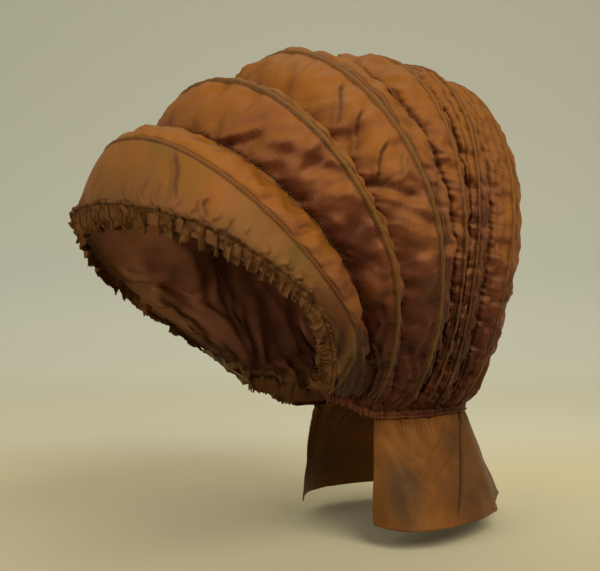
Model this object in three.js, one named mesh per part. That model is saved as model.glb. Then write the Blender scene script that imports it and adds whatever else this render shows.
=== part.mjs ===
import * as THREE from "three";

// Calash: a tall folding hood of brown silk on cane hoops, worn over the head,
// with a frilled face edge, a plain lining and a short curtain behind the neck.
// Millimetres, +Z up. The wearer looks along -Y and the wearer's left is +X.
// The origin is the middle of the neck opening.

// Main sizes
const HOOD_WIDTH = 306;
const HOOD_DEPTH = 404;
const HOOD_HEIGHT = 348;
const NECK_WIDTH = 124;
const CURTAIN_LENGTH = 101;
const SILK_WALL = 1.5;
const LINING_WALL = 1.2;
const CANE_DIAMETER = 4;
const BAND_HEIGHT = 7;
const BAND_THICKNESS = 3;
const GAP = 0.3;

// Pleats of the face frill
const FRILL_PLEATS = 34;
const PLEAT_DEPTH = 3.2;

// Points from the top of a hoop down to its foot on one side
const SIDE_STEPS = 16;

// One row for each line that crosses the hood from foot to foot, front to back.
// kind   what the line is: a free edge, a seam where two panels are sewn, a cane
// wide   half width at the widest place, as a share of half the hood width
// neck   half width at the foot, as a share of half the neck width
// topY   how far back the top is, as a share of the hood depth
// topZ   how high the top is, as a share of the hood height
// footY  how far back the foot is, as a share of the hood depth
// footZ  how high the foot is, as a share of the hood height
// waist  how high the widest place is, as a share from foot to top
// crown  roundness above the widest place, 2 is an ellipse
// cheek  roundness below the widest place
// bow    how far the middle of the line bows back, as a share of the hood depth
// drop   how far a cane's middle lies under the outside of the silk, in millimetres
const LINES = [
  { name: "frill_edge", kind: "edge", wide: 0.868, neck: 0.77, topY: -0.681, topZ: 0.506,
    footY: -0.243, footZ: 0.103, waist: 0.52, crown: 2.24, cheek: 1.2, bow: 0.031 },
  { name: "brim_edge", kind: "seam", wide: 0.893, neck: 0.92, topY: -0.701, topZ: 0.562,
    footY: -0.223, footZ: 0.080, waist: 0.58, crown: 2.2, cheek: 1.3, bow: 0.05 },
  { name: "cane_1", kind: "cane", wide: 0.897, neck: 0.98, topY: -0.648, topZ: 0.723,
    footY: -0.164, footZ: 0.065, waist: 0.37, crown: 2.21, cheek: 1.5, bow: 0.013, drop: 5.4 },
  { name: "seam_1", kind: "seam", wide: 0.800, neck: 0.94, topY: -0.522, topZ: 0.740,
    footY: -0.141, footZ: 0.047, waist: 0.49, crown: 1.83, cheek: 1.38, bow: 0.035 },
  { name: "cane_2", kind: "cane", wide: 0.997, neck: 1.00, topY: -0.440, topZ: 0.883,
    footY: -0.109, footZ: 0.030, waist: 0.45, crown: 2.16, cheek: 1.4, bow: 0.023, drop: 6.0 },
  { name: "seam_2", kind: "seam", wide: 0.850, neck: 0.96, topY: -0.350, topZ: 0.845,
    footY: -0.070, footZ: 0.021, waist: 0.52, crown: 2.05, cheek: 1.4, bow: 0.012 },
  { name: "cane_3", kind: "cane", wide: 0.970, neck: 1.02, topY: -0.240, topZ: 0.979,
    footY: -0.032, footZ: 0.019, waist: 0.50, crown: 1.98, cheek: 1.7, bow: 0.044, drop: 4.4 },
  { name: "seam_3", kind: "seam", wide: 0.853, neck: 0.98, topY: -0.110, topZ: 0.948,
    footY: 0.004, footZ: 0.017, waist: 0.53, crown: 2.1, cheek: 1.5, bow: 0.04 },
  { name: "cane_4", kind: "cane", wide: 0.889, neck: 1.05, topY: 0.013, topZ: 0.998,
    footY: 0.031, footZ: 0.015, waist: 0.49, crown: 2.04, cheek: 1.73, bow: 0.0, drop: 5.9 },
  { name: "seam_4", kind: "seam", wide: 0.790, neck: 1.00, topY: 0.062, topZ: 0.952,
    footY: 0.053, footZ: 0.014, waist: 0.52, crown: 2.1, cheek: 1.6, bow: 0.0 },
  { name: "cane_5", kind: "cane", wide: 0.838, neck: 1.06, topY: 0.125, topZ: 0.984,
    footY: 0.081, footZ: 0.013, waist: 0.51, crown: 2.17, cheek: 1.71, bow: -0.017, drop: 4.4 },
  { name: "seam_5", kind: "seam", wide: 0.760, neck: 1.00, topY: 0.196, topZ: 0.935,
    footY: 0.116, footZ: 0.013, waist: 0.51, crown: 2.0, cheek: 1.7, bow: -0.0115 },
  { name: "cane_6", kind: "cane", wide: 0.816, neck: 1.02, topY: 0.285, topZ: 0.952,
    footY: 0.158, footZ: 0.014, waist: 0.50, crown: 1.86, cheek: 1.89, bow: -0.006, drop: 5.3 },
  { name: "back_1", kind: "back", wide: 0.705, neck: 1.00, topY: 0.352, topZ: 0.850,
    footY: 0.198, footZ: 0.014, waist: 0.50, crown: 1.9, cheek: 1.8, bow: 0.0075 },
  { name: "back_2", kind: "back", wide: 0.520, neck: 0.86, topY: 0.388, topZ: 0.690,
    footY: 0.236, footZ: 0.014, waist: 0.50, crown: 1.95, cheek: 1.7, bow: 0.0135 },
  { name: "back_3", kind: "back", wide: 0.355, neck: 0.62, topY: 0.385, topZ: 0.480,
    footY: 0.254, footZ: 0.014, waist: 0.50, crown: 2.0, cheek: 1.6, bow: 0.006 },
  { name: "back_4", kind: "back", wide: 0.200, neck: 0.36, topY: 0.335, topZ: 0.230,
    footY: 0.263, footZ: 0.014, waist: 0.50, crown: 2.0, cheek: 1.6, bow: -0.0115 },
  { name: "back_5", kind: "back", wide: 0.080, neck: 0.15, topY: 0.290, topZ: 0.075,
    footY: 0.2665, footZ: 0.014, waist: 0.50, crown: 2.0, cheek: 1.6, bow: -0.010 },
  { name: "back_6", kind: "back", wide: 0.014, neck: 0.024, topY: 0.271, topZ: 0.024,
    footY: 0.2675, footZ: 0.014, waist: 0.50, crown: 2.0, cheek: 1.6, bow: -0.008 },
];

// How the silk is set between two lines: how many strips across, and how far it
// puffs out (plus) or sags in (minus) in the middle, in share of the silk's run
const SILK_STRIPS = 3;
const RISE_PUFF = 0.06;
const FALL_PUFF = 0.10;

// The curtain's hem seen from above, from the wearer's left front edge round the
// back to the right front edge. x as a share of half the neck width, y as a share
// of the hood depth. It flares out to the back and hangs a little askew.
const HEM = [
  { x: 1.00, y: -0.089 },
  { x: 1.37, y: -0.088 },
  { x: 1.68, y: -0.060 },
  { x: 1.84, y: 0.015 },
  { x: 1.80, y: 0.095 },
  { x: 1.72, y: 0.165 },
  { x: 1.58, y: 0.220 },
  { x: 1.44, y: 0.262 },
  { x: 1.08, y: 0.318 },
  { x: 0.80, y: 0.375 },
  { x: 0.54, y: 0.426 },
  { x: 0.27, y: 0.440 },
  { x: 0.00, y: 0.430 },
  { x: -0.27, y: 0.440 },
  { x: -0.54, y: 0.424 },
  { x: -0.84, y: 0.380 },
  { x: -1.18, y: 0.320 },
  { x: -1.46, y: 0.260 },
  { x: -1.60, y: 0.190 },
  { x: -1.66, y: 0.115 },
  { x: -1.58, y: 0.055 },
  { x: -1.38, y: 0.005 },
  { x: -1.15, y: -0.030 },
  { x: -1.00, y: -0.053 },
];
const LEFT_EDGE_Y = -0.082;
const RIGHT_EDGE_Y = -0.012;
const CURTAIN_STEPS = 48;
const CURTAIN_ROWS = 4;

// Vector helpers on plain arrays
function add(a, b) { return [a[0] + b[0], a[1] + b[1], a[2] + b[2]]; }
function sub(a, b) { return [a[0] - b[0], a[1] - b[1], a[2] - b[2]]; }
function mul(a, s) { return [a[0] * s, a[1] * s, a[2] * s]; }
function dot(a, b) { return a[0] * b[0] + a[1] * b[1] + a[2] * b[2]; }
function cross(a, b) {
  return [a[1] * b[2] - a[2] * b[1], a[2] * b[0] - a[0] * b[2], a[0] * b[1] - a[1] * b[0]];
}
function unit(a) {
  const length = Math.hypot(a[0], a[1], a[2]) || 1;
  return mul(a, 1 / length);
}
function mix(a, b, t) { return add(mul(a, 1 - t), mul(b, t)); }

// Points set evenly along a bent line
function evenly(points, count) {
  const run = [0];
  for (let i = 1; i < points.length; i++) {
    run.push(run[i - 1] + Math.hypot(...sub(points[i], points[i - 1])));
  }
  const out = [];
  for (let k = 0; k < count; k++) {
    const want = run[run.length - 1] * k / (count - 1);
    let i = 1;
    while (i < run.length - 1 && run[i] < want) i++;
    const step = run[i] - run[i - 1] || 1;
    out.push(mix(points[i - 1], points[i], (want - run[i - 1]) / step));
  }
  return out;
}

// The whole line of one hoop or seam, from the left foot over the top to the right
function lineOf(row, steps) {
  const wide = row.wide * HOOD_WIDTH / 2;
  const neck = row.neck * NECK_WIDTH / 2;
  const side = [];
  for (let i = 0; i <= 60; i++) {
    const a = Math.PI / 2 * i / 60;
    const upper = Math.pow(Math.max(Math.cos(a), 0), 2 / row.crown);
    side.push([wide * Math.pow(Math.sin(a), 2 / row.crown), row.waist + (1 - row.waist) * upper]);
  }
  for (let i = 1; i <= 60; i++) {
    const a = Math.PI / 2 * i / 60;
    const out = Math.pow(Math.max(Math.cos(a), 0), 2 / row.cheek);
    side.push([neck + (wide - neck) * out, row.waist * (1 - Math.pow(Math.sin(a), 2 / row.cheek))]);
  }
  const placed = side.map(([x, s]) => [
    x,
    HOOD_DEPTH * (row.footY + (row.topY - row.footY) * s + row.bow * Math.sin(Math.PI * s)),
    HOOD_HEIGHT * (row.footZ + (row.topZ - row.footZ) * s),
  ]);
  const half = evenly(placed, steps + 1);
  const left = half.slice(1).reverse();
  const right = half.slice(1).map((p) => [-p[0], p[1], p[2]]);
  return [...left, half[0], ...right];
}

// Outward direction at every point of a grid, worked out from its neighbours
function outwardOf(grid) {
  const rows = grid.length;
  const cols = grid[0].length;
  return grid.map((row, i) => row.map((p, j) => {
    const alongA = grid[i][Math.max(j - 1, 0)];
    const alongB = grid[i][Math.min(j + 1, cols - 1)];
    const acrossA = grid[Math.max(i - 1, 0)][j];
    const acrossB = grid[Math.min(i + 1, rows - 1)][j];
    return unit(cross(unit(sub(acrossB, acrossA)), unit(sub(alongB, alongA))));
  }));
}

// A closed solid from a list of corner points and triangles, turned to face out
function solid(name, points, triangles, material) {
  let volume = 0;
  for (const [a, b, c] of triangles) volume += dot(points[a], cross(points[b], points[c])) / 6;
  const faces = volume < 0 ? triangles.map(([a, b, c]) => [a, c, b]) : triangles;
  const geometry = new THREE.BufferGeometry();
  geometry.setAttribute("position", new THREE.Float32BufferAttribute(points.flat(), 3));
  geometry.setIndex(faces.flat());
  geometry.computeVertexNormals();
  const mesh = new THREE.Mesh(geometry, material);
  mesh.name = name;
  return mesh;
}

// Cloth with two faces: an outer grid and an inner grid closed round the edges
function clothBetween(name, outer, inner, material) {
  const rows = outer.length;
  const cols = outer[0].length;
  const points = [...outer.flat(), ...inner.flat()];
  const o = (i, j) => i * cols + j;
  const n = (i, j) => rows * cols + i * cols + j;
  const triangles = [];
  function quad(a, b, c, d) {
    triangles.push([a, b, c], [a, c, d]);
  }
  for (let i = 0; i < rows - 1; i++) {
    for (let j = 0; j < cols - 1; j++) {
      quad(o(i, j), o(i, j + 1), o(i + 1, j + 1), o(i + 1, j));
      quad(n(i, j), n(i + 1, j), n(i + 1, j + 1), n(i, j + 1));
    }
  }
  for (let i = 0; i < rows - 1; i++) {
    quad(o(i, 0), o(i + 1, 0), n(i + 1, 0), n(i, 0));
    quad(o(i + 1, cols - 1), o(i, cols - 1), n(i, cols - 1), n(i + 1, cols - 1));
  }
  for (let j = 0; j < cols - 1; j++) {
    quad(o(0, j + 1), o(0, j), n(0, j), n(0, j + 1));
    quad(o(rows - 1, j), o(rows - 1, j + 1), n(rows - 1, j + 1), n(rows - 1, j));
  }
  return solid(name, points, triangles, material);
}

// A round rod along a bent line, closed at both ends
function rod(name, path, radius, material) {
  const sides = 6;
  const points = [];
  const triangles = [];
  const flat = [0, -0.45, 0.89];
  path.forEach((p, i) => {
    const along = unit(sub(path[Math.min(i + 1, path.length - 1)], path[Math.max(i - 1, 0)]));
    const across = unit(cross(along, unit([0.02, 1, 0.35])));
    const up = cross(across, along);
    for (let k = 0; k < sides; k++) {
      const a = 2 * Math.PI * k / sides;
      points.push(add(p, add(mul(across, radius * Math.cos(a)), mul(up, radius * Math.sin(a)))));
    }
  });
  for (let i = 0; i < path.length - 1; i++) {
    for (let k = 0; k < sides; k++) {
      const a = i * sides + k;
      const b = i * sides + (k + 1) % sides;
      triangles.push([a, b, b + sides], [a, b + sides, a + sides]);
    }
  }
  const last = (path.length - 1) * sides;
  for (let k = 1; k < sides - 1; k++) {
    triangles.push([0, k + 1, k], [last, last + k, last + k + 1]);
  }
  return solid(name, points, triangles, material);
}

const silk = new THREE.MeshStandardMaterial({ color: 0x7a4a24, roughness: 0.55, name: "silk" });
const brimSilk = new THREE.MeshStandardMaterial({ color: 0x8a5a2a, roughness: 0.55, name: "brim_silk" });
const frillSilk = new THREE.MeshStandardMaterial({ color: 0x5e3a1e, roughness: 0.7, name: "frill_silk" });
const liningSilk = new THREE.MeshStandardMaterial({ color: 0x4a2418, roughness: 0.7, name: "lining_silk" });
const curtainSilk = new THREE.MeshStandardMaterial({ color: 0x74471f, roughness: 0.6, name: "curtain_silk" });
const cane = new THREE.MeshStandardMaterial({ color: 0xa98f5f, roughness: 0.6, name: "cane" });

const group = new THREE.Group();
group.name = "calash";

const lineNamed = {};
for (const row of LINES) lineNamed[row.name] = lineOf(row, SIDE_STEPS);

// Rows of cloth from one line to the next, without the first line itself
function strips(from, to, puff) {
  const out = [];
  for (let k = 1; k <= SILK_STRIPS; k++) {
    const t = k / SILK_STRIPS;
    out.push(from.map((p, j) => {
      const along = sub(from[Math.min(j + 1, from.length - 1)], from[Math.max(j - 1, 0)]);
      const run = sub(to[j], p);
      const out = unit(cross(unit(run), unit(along)));
      return add(mix(p, to[j], t), mul(out, puff * 4 * t * (1 - t) * Math.hypot(...run)));
    }));
  }
  return out;
}

// The whole outer skin as one grid, so that two panels share a direction at a seam
const skin = [lineNamed.brim_edge];
const seamRows = [0];
for (let k = 2; k < LINES.length; k++) {
  const from = lineNamed[LINES[k - 1].name];
  const to = lineNamed[LINES[k].name];
  const rising = LINES[k].kind === "cane";
  if (LINES[k].kind === "back") skin.push(to);
  else skin.push(...strips(from, to, rising ? RISE_PUFF : FALL_PUFF));
  if (LINES[k].kind === "seam") seamRows.push(skin.length - 1);
}
const skinOut = outwardOf(skin);

// Panels between the seams; each edge is drawn back by half a gap
const panelNames = ["brim_panel", "silk_panel_1", "silk_panel_2", "silk_panel_3", "silk_panel_4", "back_panel"];
panelNames.forEach((name, k) => {
  const first = seamRows[k];
  const last = k + 1 < seamRows.length ? seamRows[k + 1] : skin.length - 1;
  const outer = skin.slice(first, last + 1).map((row) => row.map((p) => [...p]));
  const out = skinOut.slice(first, last + 1);
  const ends = [[0, 1], [outer.length - 1, outer.length - 2]];
  for (const [edge, next] of ends) {
    outer[edge] = outer[edge].map((p, j) => add(p, mul(unit(sub(outer[next][j], p)), GAP)));
  }
  const inner = outer.map((row, i) => row.map((p, j) => sub(p, mul(out[i][j], SILK_WALL))));
  group.add(clothBetween(name, outer, inner, k === 0 ? brimSilk : silk));
});

// Canes: round rods that lie under the top of each ridge and stop above the neck
const CANE_STOP = 2;
let rowAt = 0;
for (let k = 2; k < LINES.length; k++) {
  rowAt += LINES[k].kind === "back" ? 1 : SILK_STRIPS;
  if (LINES[k].kind !== "cane") continue;
  const ridge = skin[rowAt];
  const path = ridge.map((p, j) => sub(p, mul(skinOut[rowAt][j], LINES[k].drop)));
  group.add(rod(LINES[k].name, path.slice(CANE_STOP, path.length - CANE_STOP), CANE_DIAMETER / 2, cane));
}

// Lining: a smooth inner skin drawn from seam to seam, under every valley
const liningLines = ["brim_edge", "seam_1", "seam_2", "seam_3", "seam_4", "seam_5",
  "back_1", "back_2", "back_3", "back_4", "back_5"];
const liningBase = liningLines.map((name) => lineNamed[name]);
const liningOut = outwardOf(liningBase);
const LINING_DROP = SILK_WALL + 2.6;
const liningOuter = liningBase.map((row, i) => row.map((p, j) => sub(p, mul(liningOut[i][j], LINING_DROP))));
const liningInner = liningBase.map((row, i) => row.map((p, j) => (
  sub(p, mul(liningOut[i][j], LINING_DROP + LINING_WALL)))));
group.add(clothBetween("lining", liningOuter, liningInner, liningSilk));

// Face frill: a pleated strip that hangs from the brim edge, open below the chin
const frillSteps = FRILL_PLEATS * 2;
const frillTop = lineOf(LINES[1], frillSteps / 2 + FRILL_PLEATS / 2);
const frillFree = lineOf(LINES[0], frillSteps / 2 + FRILL_PLEATS / 2);
const frillRows = [0.06, 0.5, 1].map((t) => frillTop.map((p, j) => mix(p, frillFree[j], t)));
const frillOut = outwardOf(frillRows);
const frillOuter = frillRows.map((row, i) => row.map((p, j) => {
  const wave = [0, 0.75, 0, -0.75][j % 4] * PLEAT_DEPTH * [0, 0.8, 1][i];
  return add(p, mul(frillOut[i][j], wave));
}));
const frillInner = frillOuter.map((row, i) => row.map((p, j) => sub(p, mul(frillOut[i][j], SILK_WALL))));
group.add(clothBetween("face_frill", frillOuter, frillInner, frillSilk));

// The line of the hoop feet round the neck, from the left front to the right front
const feet = LINES.slice(1).map((row) => lineNamed[row.name][0]);
const nape = [0, HOOD_DEPTH * 0.2685, HOOD_HEIGHT * 0.014];
const neckLine = [...feet, nape, ...feet.map((p) => [-p[0], p[1], p[2]]).reverse()];

// Neckband: the binding that the hood is gathered into
const bandTop = evenly(neckLine, 45);
const bandSide = bandTop.map((p, j) => {
  const along = sub(bandTop[Math.min(j + 1, 44)], bandTop[Math.max(j - 1, 0)]);
  return unit([along[1], -along[0], 0]);
});
function bandRow(offset, drop) {
  return bandTop.map((p, j) => add(p, add(mul(bandSide[j], offset), [0, 0, -drop])));
}
const BAND_TOP = 1.7;
const bandOuter = [BAND_TOP, BAND_TOP + BAND_HEIGHT].map((drop) => bandRow(BAND_THICKNESS / 2, drop));
const bandInner = [BAND_TOP, BAND_TOP + BAND_HEIGHT].map((drop) => bandRow(-BAND_THICKNESS / 2, drop));
group.add(clothBetween("neckband", bandOuter, bandInner, silk));

// Neck curtain: hangs from the band and flares to the hem, open at the throat
function curveThrough(points, count) {
  const curve = new THREE.CatmullRomCurve3(points.map((p) => new THREE.Vector3(...p)), false, "centripetal");
  return curve.getSpacedPoints(count - 1).map((v) => [v.x, v.y, v.z]);
}
function cutAt(line, yLeft, yRight) {
  const kept = line.filter((p) => (p[0] > 0 ? p[1] > yLeft : p[1] > yRight));
  const first = kept[0];
  const last = kept[kept.length - 1];
  return [[first[0], yLeft, first[2]], ...kept, [last[0], yRight, last[2]]];
}
const seamLine = cutAt(evenly(neckLine, 161), LEFT_EDGE_Y * HOOD_DEPTH, RIGHT_EDGE_Y * HOOD_DEPTH);
const curtainDrop = BAND_TOP + BAND_HEIGHT + GAP;
const curtainTop = evenly(seamLine, CURTAIN_STEPS + 1).map((p) => [p[0], p[1], p[2] - curtainDrop]);
const hemLine = HEM.map((h) => [h.x * NECK_WIDTH / 2, h.y * HOOD_DEPTH, -CURTAIN_LENGTH]);
const curtainHem = curveThrough(hemLine, CURTAIN_STEPS + 1);
const curtainOuter = [];
for (let k = 0; k <= CURTAIN_ROWS; k++) {
  const t = k / CURTAIN_ROWS;
  const flare = Math.pow(t, 0.85);
  curtainOuter.push(curtainTop.map((p, j) => {
    const q = curtainHem[j];
    return [p[0] + (q[0] - p[0]) * flare, p[1] + (q[1] - p[1]) * flare, p[2] + (q[2] - p[2]) * t];
  }));
}
const curtainOut = outwardOf(curtainOuter);
const curtainInner = curtainOuter.map((row, i) => row.map((p, j) => {
  const inward = mul(unit([curtainOut[i][j][0], curtainOut[i][j][1], 0]), -SILK_WALL);
  return sub(p, inward);
}));
group.add(clothBetween("neck_curtain", curtainOuter, curtainInner, curtainSilk));

export default group;
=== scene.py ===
import bpy
import math
import numpy as np
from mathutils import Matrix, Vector


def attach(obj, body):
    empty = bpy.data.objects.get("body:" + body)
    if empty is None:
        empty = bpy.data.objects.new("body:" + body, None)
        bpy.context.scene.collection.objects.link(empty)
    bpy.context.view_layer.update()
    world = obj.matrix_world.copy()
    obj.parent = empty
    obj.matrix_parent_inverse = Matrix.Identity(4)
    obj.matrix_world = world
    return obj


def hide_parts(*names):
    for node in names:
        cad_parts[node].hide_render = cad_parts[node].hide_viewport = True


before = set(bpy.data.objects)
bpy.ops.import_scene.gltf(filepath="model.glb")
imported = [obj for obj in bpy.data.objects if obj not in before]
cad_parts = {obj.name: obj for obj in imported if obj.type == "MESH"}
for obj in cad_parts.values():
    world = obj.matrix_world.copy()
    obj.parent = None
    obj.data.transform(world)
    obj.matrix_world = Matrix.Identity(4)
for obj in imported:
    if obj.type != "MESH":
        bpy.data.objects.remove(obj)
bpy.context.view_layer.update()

# Camera, paper sweep and light. The camera stands close, in front of the hood and to
# its left, about level with its middle, as in the photograph. The sweep is one roll of
# background paper that runs over the floor and up behind in a soft bend.
AZIMUTH = math.radians(50.9)
ELEVATION = math.radians(0.8)
CAMERA_AWAY = 1.100
LENS_PIXELS = 1155.0
PHOTO_WIDTH = 600
OFF_RIGHT = 3
OFF_UP = 18
SENSOR_WIDTH = 36
AIM = Vector((0, -0.070, 0.140))
LIT_PLACE = Vector((0, -0.05, 0.15))
FLOOR_HEIGHT = -0.121
SWEEP_HALF_WIDTH = 6.0
SWEEP_PROFILE = [(-6.0, 0.0), (-1.6, 0.0), (0.95, 0.0), (1.25, 0.02), (1.50, 0.09), (1.67, 0.22),
                 (1.77, 0.42), (1.82, 0.8), (1.82, 2.8)]

back = Vector((math.sin(AZIMUTH) * math.cos(ELEVATION), -math.cos(AZIMUTH) * math.cos(ELEVATION),
               math.sin(ELEVATION)))
right = Vector((math.cos(AZIMUTH), math.sin(AZIMUTH), 0))
up = back.cross(right)
camera = bpy.data.objects.new("camera", bpy.data.cameras.new("camera"))
bpy.context.collection.objects.link(camera)
camera.data.lens = SENSOR_WIDTH * LENS_PIXELS / PHOTO_WIDTH
camera.data.sensor_width = SENSOR_WIDTH
camera.location = AIM + back * CAMERA_AWAY
look = (-back * LENS_PIXELS - right * OFF_RIGHT - up * OFF_UP).normalized()
camera.rotation_euler = look.to_track_quat("-Z", "Y").to_euler()
bpy.context.scene.camera = camera
bpy.context.scene.view_settings.view_transform = "Standard"


def linear(hex_colour):
    """An sRGB hex colour in the linear values that the shaders take."""
    channels = [int(hex_colour[i:i + 2], 16) / 255 for i in (1, 3, 5)]
    return [c / 12.92 if c <= 0.04045 else ((c + 0.055) / 1.055) ** 2.4 for c in channels] + [1]


def node(tree, kind, links=None, inputs=None, **settings):
    """Adds a node with its settings, the values of its inputs and the links into it."""
    made = tree.nodes.new(kind)
    for name, value in settings.items():
        setattr(made, name, value)
    for key, value in (inputs or {}).items():
        made.inputs[key].default_value = value
    for key, source in (links or {}).items():
        tree.links.new(source, made.inputs[key])
    return made


def new_material(name):
    made = bpy.data.materials.new(name)
    made.use_nodes = True
    made.node_tree.nodes.clear()
    return made, made.node_tree


def grid_piece(name, grid, flip=False):
    """A smooth piece from a grid of points, with one face between each four of them."""
    rows, cols = grid.shape[:2]
    index = np.arange(rows * cols).reshape(rows, cols)
    a, b, c, d = index[:-1, :-1], index[:-1, 1:], index[1:, 1:], index[1:, :-1]
    quads = np.stack([a, d, c, b] if flip else [a, b, c, d], axis=-1).reshape(-1, 4)
    data = bpy.data.meshes.new(name)
    data.from_pydata([tuple(point) for point in grid.reshape(-1, 3)], [], quads.tolist())
    data.polygons.foreach_set("use_smooth", [True] * len(data.polygons))
    data.update()
    piece = bpy.data.objects.new(name, data)
    bpy.context.collection.objects.link(piece)
    return piece


def point_values(piece, name, values, kind="FLOAT"):
    """Gives each point of a piece a value, or three of them, for its material to read."""
    stored = piece.data.attributes.new(name, kind, "POINT").data
    stored.foreach_set("value" if kind == "FLOAT" else "vector", np.ravel(values))


# Uncoated background paper, matt: it has no glint. Its cream is warmer on the floor, and
# the light falling on it is painted into its colour: darker on the floor under and in front
# of the hood, lightest where the paper starts to bend up, then darker and greyer up the
# wall as the light falls off
paper, tree = new_material("backdrop_paper")
far_along = node(tree, "ShaderNodeAttribute", attribute_name="far").outputs["Fac"]
spread = node(tree, "ShaderNodeMapRange", {"Value": far_along}, {"From Min": -0.1, "From Max": 2.6})
ramp = node(tree, "ShaderNodeValToRGB", {"Fac": spread.outputs["Result"]})
ramp.color_ramp.elements[0].color = linear("#b3a887")
ramp.color_ramp.elements[1].color = linear("#c4c4b4")
for at, tone in ((0.104, "#c8bd97"), (0.222, "#dacca4"), (0.378, "#e0d9ba"), (0.5, "#e4e2cb"),
                 (0.63, "#dadac7"), (0.741, "#cbcbba")):
    ramp.color_ramp.elements.new(at).color = linear(tone)
paper_shader = node(tree, "ShaderNodeBsdfPrincipled", {"Base Color": ramp.outputs["Color"]},
                    {"Roughness": 0.9})
node(tree, "ShaderNodeOutputMaterial", {"Surface": paper_shader.outputs["BSDF"]})

away = Vector((-back.x, -back.y, 0)).normalized()
side = Vector((away.y, -away.x, 0))
sweep_grid = np.array([[tuple(away * far + side * across + Vector((0, 0, FLOOR_HEIGHT + high)))
                        for across in (-SWEEP_HALF_WIDTH, SWEEP_HALF_WIDTH)]
                       for far, high in SWEEP_PROFILE])
sweep = grid_piece("backdrop", sweep_grid)
sweep.data.materials.append(paper)
point_values(sweep, "far", [(far + high, far + high) for far, high in SWEEP_PROFILE])
bend = sweep.modifiers.new("soft bend", "SUBSURF")
bend.levels = bend.render_levels = 3


def soft_light(name, place, size, power, colour):
    lamp = bpy.data.lights.new(name, "AREA")
    lamp.shape = "DISK"
    lamp.size = size
    lamp.energy = power
    lamp.color = linear(colour)[:3]
    holder = bpy.data.objects.new(name, lamp)
    bpy.context.collection.objects.link(holder)
    holder.location = place
    holder.rotation_euler = (LIT_PLACE - Vector(place)).to_track_quat("-Z", "Y").to_euler()


soft_light("key", camera.location + right * 0.75 + Vector((0, 0, 1.05)), 1.3, 25, "#fffaf0")
soft_light("fill", camera.location - right * 1.0 + Vector((0, 0, 0.5)), 1.2, 9, "#f8f8f6")
soft_light("front", camera.location - right * 0.9 + Vector((0, 0, -0.25)), 0.7, 5, "#fffaf4")
soft_light("top", (-0.2, 0.1, 1.6), 1.0, 3.5, "#fffaf2")
world = bpy.data.worlds.new("studio")
bpy.context.scene.world = world
world.use_nodes = True
world.node_tree.nodes["Background"].inputs["Color"].default_value = linear("#d8d6cc")
world.node_tree.nodes["Background"].inputs["Strength"].default_value = 0.6

# Silk skin of the hood. Shot silk, brown one way and gold the other, is sewn in
# panels from seam to seam, drawn over a cane hoop in the middle of each panel and
# gathered into the neckband. It creases between the canes and puckers at the seams.
HOOD_WIDTH = 0.306
HOOD_DEPTH = 0.404
HOOD_HEIGHT = 0.348
NECK_WIDTH = 0.124

# Each line over the hood, front to back. After its kind come its width at its widest
# place and at the neck, how far back and how high its top lies, and then its foot, how
# high its widest place is, how square it is above and below that, and how far it bows
# back. Lengths are shares of the sizes above.
LINES = {
    "brim_edge": ("seam", 0.893, 0.92, -0.701, 0.562, -0.223, 0.080, 0.58, 2.20, 1.30, 0.050),
    "cane_1": ("cane", 0.897, 0.98, -0.648, 0.723, -0.164, 0.065, 0.37, 2.21, 1.50, 0.013),
    "seam_1": ("seam", 0.800, 0.94, -0.522, 0.740, -0.141, 0.047, 0.49, 1.83, 1.38, 0.035),
    "cane_2": ("cane", 0.997, 1.00, -0.440, 0.883, -0.109, 0.031, 0.45, 2.16, 1.40, 0.023),
    "seam_2": ("seam", 0.850, 0.96, -0.350, 0.845, -0.070, 0.021, 0.52, 2.05, 1.40, 0.012),
    "cane_3": ("cane", 0.970, 1.02, -0.240, 0.979, -0.032, 0.019, 0.50, 1.98, 1.70, 0.044),
    "seam_3": ("seam", 0.853, 0.98, -0.110, 0.948, 0.004, 0.017, 0.53, 2.10, 1.50, 0.040),
    "cane_4": ("cane", 0.889, 1.05, 0.013, 0.998, 0.031, 0.015, 0.49, 2.04, 1.73, 0.000),
    "seam_4": ("seam", 0.790, 1.00, 0.062, 0.952, 0.053, 0.014, 0.52, 2.10, 1.60, 0.000),
    "cane_5": ("cane", 0.838, 1.06, 0.125, 0.984, 0.081, 0.013, 0.51, 2.17, 1.71, -0.017),
    "seam_5": ("seam", 0.760, 1.00, 0.196, 0.935, 0.116, 0.013, 0.51, 2.00, 1.70, -0.0115),
    "cane_6": ("cane", 0.816, 1.02, 0.285, 0.952, 0.158, 0.014, 0.50, 1.86, 1.89, -0.006),
    "back_1": ("back", 0.705, 1.00, 0.352, 0.850, 0.198, 0.014, 0.50, 1.90, 1.80, 0.0075),
    "back_2": ("back", 0.520, 0.86, 0.388, 0.690, 0.236, 0.014, 0.50, 1.95, 1.70, 0.0135),
    "back_3": ("back", 0.355, 0.62, 0.385, 0.480, 0.254, 0.014, 0.50, 2.00, 1.60, 0.006),
    "back_4": ("back", 0.200, 0.36, 0.335, 0.230, 0.263, 0.014, 0.50, 2.00, 1.60, -0.0115),
    "back_5": ("back", 0.080, 0.15, 0.290, 0.075, 0.2665, 0.014, 0.50, 2.00, 1.60, -0.010),
    "back_6": ("back", 0.014, 0.024, 0.271, 0.024, 0.2675, 0.014, 0.50, 2.00, 1.60, -0.008),
}
LINE_NAMES = list(LINES)

# How high the silk puffs between two lines, as a share of the way from one to the
# other: little on its rise to a cane, more on its fall to a seam
PUFF = {"cane": 0.06, "seam": 0.10, "back": 0.0}


def evenly(points, count):
    """The same line with a given number of points, all the same distance apart."""
    run = np.concatenate([[0], np.cumsum(np.linalg.norm(np.diff(points, axis=0), axis=1))])
    want = np.linspace(0, run[-1], count)
    return np.stack([np.interp(want, run, points[:, k]) for k in range(3)], axis=1)


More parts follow.
